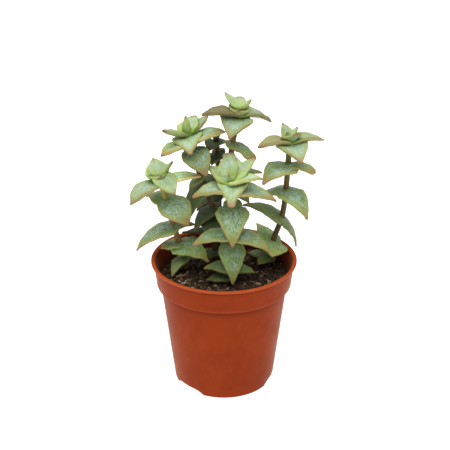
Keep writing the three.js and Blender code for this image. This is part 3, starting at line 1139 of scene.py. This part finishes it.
@dataclass
class NurseryPot:
    """The moulded pot: a thin turned lip, a collar, a step, a tapered body and three arched drain notches."""

    rim_radius: float = 30.0
    lip_height: float = 0.9
    lip_width: float = 1.4
    collar_top: float = 28.97
    collar_foot: float = 27.78
    collar_depth: float = 10.72
    step_drop: float = 0.9
    ledge: float = 0.3
    body_top: float = 26.18
    foot_radius: float = 20.85
    foot_round: float = 0.9
    wall: float = 1.1
    wall_slack: float = 0.3
    floor: float = 1.3
    notch_turns: tuple[float, ...] = (224.5, 344.5, 104.5)
    notch_height: float = 2.5
    notch_width: float = 16.0
    notch_squareness: float = 2.4
    notch_reach: float = 3.4
    notch_steps: int = 24
    segments: int = 120
    match: float = 0.01

    @property
    def collar(self) -> float:
        """The height of the collar's lower edge."""
        return POT_HEIGHT - self.collar_depth

    @property
    def lip(self) -> float:
        """The height of the lip's lower edge."""
        return POT_HEIGHT - self.lip_height

    def profile(self) -> list[tuple[float, float]]:
        """The pot's section, as radius and height, round from the middle of the underside to the floor.

        Returns:
            The section's corners.
        """
        return [
            (0.0, 0.0),
            (self.foot_radius, 0.0),
            (self.body_top, self.collar - self.ledge),
            (self.collar_foot, self.collar),
            (self.collar_top, self.lip),
            (self.rim_radius, self.lip),
            (self.rim_radius, POT_HEIGHT),
            (self.rim_radius - self.lip_width, POT_HEIGHT),
            (self.collar_top - self.wall, POT_HEIGHT - 2 * self.lip_height),
            (self.collar_foot - self.wall, self.collar),
            (self.body_top - self.wall, self.collar - self.step_drop),
            (self.foot_radius - self.wall, self.floor),
            (0.0, self.floor),
        ]

    def cut_notch(self, shape: Shape, turn: float) -> Piece:
        """Makes the arched block that cuts one notch.

        Args:
            shape: An empty shape to make it in.
            turn: The compass turn that the notch faces.

        Returns:
            The cutting object.
        """
        half = self.notch_width / 2
        made = bmesh.ops.create_grid(shape, x_segments=self.notch_steps, y_segments=1, size=1.0)["verts"]
        for vert in made:
            x = half * vert.co.x
            arch = math.cos(math.pi / 2 * abs(vert.co.x) ** self.notch_squareness)
            z = -1.0 if vert.co.y < 0 else self.notch_height * arch
            vert.co = (x, self.foot_radius - self.notch_reach, z)
        sweep = bmesh.ops.extrude_face_region(shape, geom=list(shape.faces))["geom"]
        moved = [part for part in sweep if isinstance(part, Vert)]
        bmesh.ops.translate(shape, vec=(0, 2 * self.notch_reach, 0), verts=moved)
        facing = Matrix.Rotation(math.radians(turn - 90), 3, "Z")
        bmesh.ops.rotate(shape, cent=(0, 0, 0), matrix=facing, verts=shape.verts)
        bmesh.ops.recalc_face_normals(shape, faces=shape.faces)
        return as_piece("notch_cutter", shape, [])

    def build(self, finish: Material) -> Piece:
        """Builds the pot.

        Args:
            finish: The plastic.

        Returns:
            The piece.
        """
        shape = turned(self.profile(), self.segments)
        self.round_rings(shape)
        inside = shape.verts.layers.float.new("inside")
        for vert in shape.verts:
            radius = math.hypot(vert.co.x, vert.co.y)
            near_wall = radius < self.inner_radius(vert.co.z) + self.wall_slack
            vert[inside] = float(near_wall and vert.co.z > self.floor / 2)
        pot = as_piece("pot_moulded", shape, [finish], Slot.POT, NodeName.POT)
        for turn in self.notch_turns:
            cutter = self.cut_notch(bmesh.new(), turn)
            cut = pot.modifiers.new("notch", "BOOLEAN")
            cut.operation, cut.solver, cut.object = "DIFFERENCE", "EXACT", cutter
            seen = bpy.context.evaluated_depsgraph_get()
            carved = bpy.data.meshes.new_from_object(pot.evaluated_get(seen))
            pot.modifiers.clear()
            pot.data = carved
            bpy.data.objects.remove(cutter)
        pot.data.name = "pot_moulded"
        corners = pot.modifiers.new("corners", "WEIGHTED_NORMAL")
        corners.keep_sharp = True
        return pot

    def inner_radius(self, height: float) -> float:
        """The inner wall's radius at a height.

        Args:
            height: The height.

        Returns:
            The radius.
        """
        if height < self.collar - self.step_drop / 2:
            share = (height - self.floor) / (self.collar - self.floor)
            return self.foot_radius - self.wall + (self.body_top - self.foot_radius) * share
        low, high = self.collar_foot - self.wall, self.rim_radius - self.lip_width
        return low + (high - low) * (height - self.collar) / self.collar_depth

    def round_rings(self, shape: Shape) -> None:
        """Rounds the pot's corner rings.

        Args:
            shape: The turned pot.
        """
        # each ring's radius and height, how far it is rounded, and in how many steps
        rings = [
            (self.foot_radius, 0.0, self.foot_round, 4),
            (self.rim_radius, self.lip, 0.3, 2),
            (self.rim_radius, POT_HEIGHT, 0.3, 3),
            (self.rim_radius - self.lip_width, POT_HEIGHT, 0.35, 3),
            (self.collar_foot, self.collar, 0.4, 3),
            (self.body_top, self.collar - self.ledge, 0.3, 2),
            (self.collar_top, self.lip, 0.2, 2),
        ]
        for radius, height, size, segments in rings:
            ring = {
                vert for vert in shape.verts
                if abs(vert.co.xy.length - radius) < self.match and abs(vert.co.z - height) < self.match
            }
            edges = [edge for edge in shape.edges if ring.issuperset(edge.verts)]
            bmesh.ops.bevel(
                shape, geom=edges, offset=size, offset_type="OFFSET", affect="EDGES",
                segments=segments, profile=0.5, material=-1, clamp_overlap=True,
            )


@dataclass
class PottingSoil:
    """The soil that fills the pot, with its loose crumbs, chips and fibres."""

    pot: NurseryPot
    clearance: float = 0.3
    relief: float = 0.6
    lumps: float = 0.85
    rings: int = 26
    segments: int = 110
    crumbs: int = 1900
    crumb_seed: int = 11
    crumb_margin: float = 0.5
    crumb_fineness: float = 2.6
    crumb_rise: float = 0.25
    smallest_crumb: float = 0.22
    crumb_range: float = 0.75
    crumb_stretch: tuple[tuple[float, float], ...] = ((0.7, 1.9), (0.6, 1.1), (0.35, 0.9))
    crumb_roughness: float = 0.22
    gloom: float = 1.35
    paleness: float = 0.85
    pale_front: float = -19.0
    pale_width: float = 15.0
    pale_depth: float = 5.0
    fibres: int = 34
    fibre_seed: int = 5
    fibre_margin: float = 3.0
    fibre_length: tuple[float, float] = (2.0, 5.5)
    fibre_arch: tuple[float, float] = (0.3, 1.3)
    fibre_bow: tuple[float, float] = (-0.8, 0.8)
    fibre_thick: tuple[float, float] = (0.07, 0.15)
    fibre_steps: int = 7
    tangled: float = 0.6
    tangle: tuple[float, float] = (-16.5, -8.5)
    tangle_reach: tuple[float, float] = (2.6, 3.0)
    strays: tuple[tuple[float, float], ...] = ((-20.0, 20.0), (-16.0, 10.0))

    @property
    def edge(self) -> float:
        """The radius of the soil's top."""
        return self.pot.collar_foot - self.pot.wall - self.clearance

    def surface(self, x: float, y: float) -> float:
        """The height of the soil's top at a place, in millimetres above the pot's underside.

        Args:
            x: How far to the right.
            y: How far away from the viewer.

        Returns:
            The height.
        """
        out = math.hypot(x, y) / self.edge
        broad = math.sin(0.55 * x + 0.4) * math.cos(0.47 * y + 1.1) + 0.6 * math.sin(0.9 * x - 0.7 * y + 2.3)
        lump = noise.fractal(Vector((x, y, 3.0)) * 0.42, 0.9, 2.1, 4)
        return SOIL_TOP + self.relief * broad * (1 - out**4) + self.lumps * lump * (1 - 0.5 * out**6)

    def build_body(self, finish: Material) -> Piece:
        """Builds the body of the soil.

        Args:
            finish: The soil's material.

        Returns:
            The piece.
        """
        pot = self.pot
        section = [
            (0.0, pot.floor + self.clearance),
            (pot.foot_radius - pot.wall - 2 * self.clearance, pot.floor + self.clearance),
            (pot.body_top - pot.wall - 1.8 * self.clearance, pot.collar - pot.step_drop),
            (self.edge, pot.collar + self.clearance),
        ]
        section += [(self.edge * i / self.rings, SOIL_TOP) for i in range(self.rings, -1, -1)]
        shape = turned(section, self.segments)
        for vert in shape.verts:
            if vert.co.z > SOIL_TOP - 0.01:
                vert.co.z = self.surface(vert.co.x, vert.co.y)
        return as_piece("soil_body", shape, [finish], Slot.SOIL, NodeName.SOIL)

    def build_crumbs(self, finish: Material) -> Piece:
        """Scatters crumbs and chips over the soil.

        Args:
            finish: The crumbs' material.

        Returns:
            The piece.
        """
        rng = random.Random(self.crumb_seed)
        shape = bmesh.new()
        tone = shape.verts.layers.float.new("tone")
        for _ in range(self.crumbs):
            away = (self.edge - self.crumb_margin) * math.sqrt(rng.random())
            turn = rng.uniform(0, 2 * math.pi)
            x, y = away * math.cos(turn), away * math.sin(turn)
            size = self.smallest_crumb + self.crumb_range * rng.random() ** self.crumb_fineness
            paler = math.exp(-(((y - self.pale_front) / self.pale_depth) ** 2))
            paler *= math.exp(-((x / self.pale_width) ** 2))
            level = rng.random() ** (self.gloom - self.paleness * paler)
            spin = rng.uniform(0, 2 * math.pi)
            spin = Matrix.Rotation(spin, 4, Vector([rng.gauss(0, 1) for _ in range(3)]))
            stretch = Matrix.Diagonal([*(rng.uniform(*ends) for ends in self.crumb_stretch), 1])
            spot = Matrix.Translation((x, y, self.surface(x, y) + self.crumb_rise * size))
            place = spot @ spin @ stretch
            made = bmesh.ops.create_icosphere(shape, subdivisions=1, radius=size, matrix=place)
            for vert in made["verts"]:
                vert.co += self.crumb_roughness * size * noise.noise_vector(vert.co * (1.3 / size))
                vert[tone] = level
        piece = as_piece("soil_crumbs", shape, [finish], Slot.SOIL)
        for face in piece.data.polygons:
            face.use_smooth = False
        return piece

    def build_fibres(self, finish: Material) -> Piece:
        """Lays pale fibres on the soil, most of them at the front left.

        Args:
            finish: The fibres' material.

        Returns:
            The piece.
        """
        rng = random.Random(self.fibre_seed)
        shape = bmesh.new()
        for i in range(self.fibres):
            if i < self.fibres * self.tangled:
                x, y = (rng.gauss(*spread) for spread in zip(self.tangle, self.tangle_reach))
            else:
                x, y = (rng.uniform(*ends) for ends in self.strays)
            if math.hypot(x, y) <= self.edge - self.fibre_margin:
                self.lay_fibre(shape, rng, x, y)
        return as_piece("soil_fibres", shape, [finish], Slot.SOIL)

    def lay_fibre(self, shape: Shape, rng: random.Random, x: float, y: float) -> None:
        """Lays one fibre: a thin tube that arches out of the soil and back.

        Args:
            shape: The shape that it is added to.
            rng: Seeded random numbers.
            x: Where its middle is, to the right.
            y: Where its middle is, away from the viewer.
        """
        steps = self.fibre_steps
        length = rng.uniform(*self.fibre_length)
        turn = rng.uniform(0, math.pi)
        arch = rng.uniform(*self.fibre_arch)
        bow = rng.uniform(*self.fibre_bow)
        thick = rng.uniform(*self.fibre_thick)
        face = Matrix.Rotation(turn, 4, "Z") @ Matrix.Rotation(math.pi / 2, 4, "Y")
        rings = []
        for i in range(steps + 1):
            hump = math.sin(math.pi * (i / steps))
            along, sideways = length * (i / steps - 0.5), bow * hump
            px = x + along * math.cos(turn) - sideways * math.sin(turn)
            py = y + along * math.sin(turn) + sideways * math.cos(turn)
            spot = Matrix.Translation((px, py, self.surface(px, py) + arch * hump - 0.05))
            rings.append((spot @ face, thick * (0.5 + hump / 2)))
        add_tube(shape, rings, 5)


@dataclass
class Studio:
    """The floor, the light and the camera at the photograph's angle."""

    pitch: float = 25.147
    camera_place: Triple = (0.43, -391.18, 253.63)
    lens: float = 85.16
    sensor: float = 36.0
    floor_radius: float = 6000.0
    sun_strength: float = 3.1
    sun_spread: float = 70.0
    sun_tilt: tuple[float, float] = (10.0, -6.0)
    sky_colour: Colour = (1.0, 0.99, 0.975)
    sky_strength: float = 0.58

    def build_floor(self, finish: Material) -> Piece:
        """Lays the floor.

        Args:
            finish: The floor's material.

        Returns:
            The floor, which isn't part of the object.
        """
        shape = bmesh.new()
        bmesh.ops.create_circle(shape, cap_ends=True, segments=96, radius=self.floor_radius)
        bmesh.ops.recalc_face_normals(shape, faces=shape.faces)
        floor = as_piece("studio_floor", shape, [finish])
        return floor

    def build_lights(self) -> None:
        """Hangs a broad soft lamp overhead, a little to the front and left, and an even pale sky."""
        lamp = bpy.data.lights.new("soft_overhead", "SUN")
        lamp.energy = self.sun_strength
        lamp.angle = math.radians(self.sun_spread)
        holder = placed("soft_overhead", lamp)
        holder.rotation_euler = (math.radians(self.sun_tilt[0]), math.radians(self.sun_tilt[1]), 0)
        world = bpy.data.worlds.new("studio_sky")
        world.use_nodes = True
        sky = world.node_tree.nodes["Background"]
        sky.inputs["Color"].default_value = (*self.sky_colour, 1.0)
        sky.inputs["Strength"].default_value = self.sky_strength
        bpy.context.scene.world = world
        bpy.context.scene.view_settings.view_transform = "Standard"

    def build_camera(self) -> None:
        """Sets the camera up."""
        camera = bpy.data.cameras.new("camera")
        camera.lens = self.lens
        camera.sensor_width = self.sensor
        camera.clip_start, camera.clip_end = 0.01, 50.0
        holder = placed("camera", camera)
        holder.location = Vector(self.camera_place) * MM
        holder.rotation_euler = (math.radians(90 - self.pitch), 0, 0)
        bpy.context.scene.camera = holder


def pair(height: float, *leaves: tuple[float, ...], tone: float = 1.0) -> Pair:
    """A pair of leaves, from each leaf's numbers in the order of Leaf's fields."""
    return Pair(height, tuple(Leaf(*leaf) for leaf in leaves), tone)


def stem(
    node: NodeName, foot: tuple[float, float], bends: tuple[tuple[float, float], ...],
    *pairs: Pair, **looks: float,
) -> LeafyStem:
    """A stem, from its path, its pairs and any of LeafyStem's other fields."""
    return LeafyStem(node, foot, bends, pairs, **looks)


def plant() -> list[LeafyStem]:
    """The six stems, as they stand in the pot.

    Returns:
        The stems.
    """
    # each pair's tone and each stem's tone paint light and shade, as in part does each stalk tone: below 1
    # deep in the plant's shade, above 1 where a leaf or stalk should catch more light
    back_middle = stem(
        NodeName.STEM_A,
        (3.3, 13),
        ((2.9, 36), (3.2, 52), (5.4, 62), (6.2, 68.7)),
        pair(11, (329, 12, 7, 30, 9), (125, 5.8, 10, 40), tone=0.55),
        pair(24, (195, 5.5, 5, 45), (15, 8, 5, 45)),
        pair(34.5, (303, 14, 8, 45), (112, 7.5, 8, 45), tone=0.8),
        pair(40.5, (190, 8, 10, 45), (15, 14, 12, 45)),
        pair(54, (320, 13, 2, 45, 9, 0.74, 6), (135, 5, 0, 40)),
        pair(64, (256, 14, 15, 65, 13.6, 0.74, 1.8, 0.8), (75, 11, 0, 40), tone=0.88),
        pair(66, (203, 16.5, 19, 44, 7.2, 0.5, 1.2, 1.4, 0.12, 0.9), tone=0.6),
        pair(66, (28, 17.5, 7, 56, 7.8, 0.5, 1.2, 1.4, 0.12, 0.2), tone=0.88),
        pair(67, (90, 8, 35, 10, 8.5, 0.74, 5), (263, 6, 24, 10, 7.5, 0.8, 1.8)),
        pair(68.3, (144, 9, 35, 10, 5.5), (340, 6.5, 52, 10)),
        stalk_tone=0.82,
    )
    front_middle = stem(
        NodeName.STEM_B,
        (2, -5),
        ((3, 14), (3.4, 32), (3.3, 45.6)),
        pair(3, (200, 10, 0, 20), tone=0.45),
        pair(7, (192, 11, 8, 35, 11), (350, 11, 8, 35, 11), tone=0.85),
        pair(17, (277, 17.5, -28, 60, 11, 0.8, 1.2, 0.8), (90, 11, 10, 45), tone=1.2),
        pair(22.5, (207, 18.5, 9, 45), (326, 19, 6, 45)),
        pair(33.5, (270, 18.5, -8, 75, 13.6, 0.8, 1.2, 0.8), (88, 9.5, 15, 45)),
        pair(40.2, (207, 18.5, 26, 57, 14), (341, 19, 13, 47)),
        pair(43.1, (268, 15.5, 23, 70, 12, 0.74, 3, 0.8), (97, 16, 66, 75, 13.5, 0.8, 5)),
        pair(44, (141, 14.2, 30, 37)),
        pair(44, (332, 14, 31, 35), tone=1.25),
        pair(45, (36, 13.5, 40, 25, 9.5), (250, 5, 45, 10, 3)),
        pair(45.6, (58, 8, 73, 5, 2.8), (230, 4.5, 60, 5, 2.6)),
    )
    right = stem(
        NodeName.STEM_C,
        (19.3, 11),
        ((20.6, 10.5), (24.2, 22), (25.6, 36), (26.1, 46), (26.6, 57)),
        pair(4, (235, 9, 5, 40), (180, 10, 10, 30)),
        pair(10.7, (268, 13, 12, 50, 12.5, 0.66), (121, 14, 15, 30), tone=1.5),
        pair(22, (357, 16, -33, 52, 10.5), (172, 18, 22, 50, 12, 0.95), tone=0.9),
        pair(34.5, (308, 18, 4, 70, 13.6, 0.74, 2, 1), (158, 13.5, -8, 55), tone=1.15),
        pair(45.6, (229, 17.5, 5, 55, 14.5, 0.74, 1.8), (330, 13, 15, 55, 9.5, 0.74, 6), tone=1.1),
        pair(53.3, (291, 13.5, 23, 66, 14, 0.74, 1.8, 0.8), (106, 11, -5, 45)),
        pair(
            54.9, (211, 16, 19, 46, 7.4, 0.5, 1.2, 1.4, 0.12, 0.7),
            (24, 16.5, 17, 50, 7, 0.5, 1.2, 1.4, 0.12, 0.3), tone=0.92,
        ),
        pair(56, (113, 8.5, 35, 10, 6), (304, 6.2, 45, 10, 9, 0.9, 5.5), tone=0.8),
        pair(56.8, (55, 6, 33, 5, 3.2), (239, 4, 50, 5), tone=0.78),
        stalk_tone=0.7,
    )
    back_left = stem(
        NodeName.STEM_D,
        (-3.8, 10),
        ((-4.4, 24), (-8.2, 36), (-11.4, 46), (-13.9, 54), (-15.2, 60.5)),
        pair(7, (246, 11, 12, 35, 9), (66, 5, 10, 40), tone=0.5),
        pair(16.5, (178, 14, 2, 20, 7), (358, 5, 5, 40), tone=0.4),
        pair(22, (256, 13, 7, 50, 12), (95, 5, 5, 45), tone=0.55),
        pair(27, (218, 13, -8, 50, 11, 0.8, 3), (51, 5, 10, 40), tone=0.62),
        pair(37, (218, 18, -15, 60, 13.6, 0.74, 1.5, 1.2), (53, 5, 10, 40), tone=0.75),
        pair(40.5, (205, 7.6, -8, 45, 6.5), (25, 4.5, 0, 40)),
        pair(52.5, (288, 18.5, 16, 80, 11.2, 0.69, 2.4, 0.8), (103, 7, 5, 45), tone=0.74),
        pair(54.2, (226, 16, 30, 47, 10, 0.6, 1.2, 1), (352, 16.6, 30, 52, 12, 0.6), tone=1.28),
        pair(57.2, (275, 13.5, 20, 60, 12.5, 0.74, 2, 0.8), (94, 10, 10, 40)),
        pair(58.4, (219, 12.5, 35, 18, 6, 0.6), (44, 13, 25, 25, 6.5, 0.6), tone=0.77),
        pair(59.6, (290, 8.5, 68, 8, 3.6), (66, 9.5, 25, 10, 9, 0.8, 5)),
        ageing=21.0,
        # eldest past 0.86 takes the lowest leaves into the painted shade at the end of the age ramp
        eldest=0.95,
        fresh=1.5,
        stalk_tone=0.6,
    )
    left = stem(
        NodeName.STEM_E,
        (-16, 6),
        ((-18.4, 11.5), (-22.3, 25.5), (-23.8, 32.5), (-25.6, 39), (-26.5, 42.5)),
        pair(6.5, (240, 12.5, 0, 40, 8.5)),
        pair(
            12.8, (319, 17, -10, 50, 14, 0.74, 1.2, 1.4, 0.4),
            (205, 8.5, 15, 30, 11, 0.74, 3, 1.4, 0.45), tone=1.35,
        ),
        pair(21, (200, 19.5, 4, 50, 15.5), (8, 9.5, -8, 35)),
        pair(32.5, (304, 17.5, -4, 60, 13.5, 0.66, 1.5, 0.9), (138, 11.5, 19, 50, 10, 0.74, 4)),
        pair(38.8, (220, 17.5, 21, 66, 12.5, 0.6), tone=0.92),
        pair(38.8, (3, 17.3, 13, 45, 8.5, 0.6), tone=2.3),
        pair(41.4, (299, 14.5, 26, 84, 9, 0.6, 1.2, 0.8), (127, 9, 10, 40, 7)),
        pair(41.7, (100, 9, 45, 5, 10), (285, 6, 25, 10, 7, 0.8, 1.8)),
        pair(42.3, (17, 8, 30, 5, 5), (197, 5, 50, 5, 4)),
        stalk_tone=1.5,
    )
    far_back = stem(
        NodeName.STEM_F,
        (-2, 20),
        ((-2.1, 25), (-2.5, 43), (-3.4, 54.5)),
        pair(12, (190, 7, 5, 40), (10, 5.4, 5, 40)),
        pair(21, (100, 6, 5, 40), (280, 6, 5, 40)),
        pair(29, (205, 13, -12, 50, 10), (25, 5.4, 5, 45)),
        pair(36.5, (200, 8, 5, 50), (10, 8, 5, 45)),
        pair(46.8, (254, 9.5, 7, 50, 8), (74, 7, 10, 40)),
        pair(51.5, (247, 8.5, 14, 50, 8), (25, 5.5, 5, 45, 5)),
        pair(54, (290, 4, 35, 10, 3), (110, 4, 35, 10, 3)),
        # youngest and eldest near 1 put all of this stem's leaves on the painted shade at the end of the age
        # ramp, and its tone darkens them further as painted shade
        youngest=0.97,
        eldest=1.0,
        tone=0.7,
        stalk_tone=0.55,
    )
    return [back_middle, front_middle, right, back_left, left, far_back]


def main() -> None:
    """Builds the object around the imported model, and then the studio."""
    logging.basicConfig(level=logging.INFO, format="%(message)s")
    noise.seed_set(NOISE_SEED)
    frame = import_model()
    LOG.info("nodes of the packed model: %s", ", ".join(sorted(frame["nodes"])))
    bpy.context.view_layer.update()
    leaf_finish, stalk_finish = LeafFinish().make(), StalkFinish().make()
    for leafy in plant():
        leafy.build(leaf_finish, stalk_finish)
    pot = NurseryPot()
    pot.build(PotFinish().make())
    soil = PottingSoil(pot)
    soil.build_body(SoilFinish().make("soil", False))
    soil.build_crumbs(SoilFinish().make("soil_crumb", True))
    soil.build_fibres(FibreFinish().make())
    studio = Studio()
    studio.build_floor(FloorFinish().make())
    studio.build_lights()
    studio.build_camera()


if __name__ == "__main__":
    main()
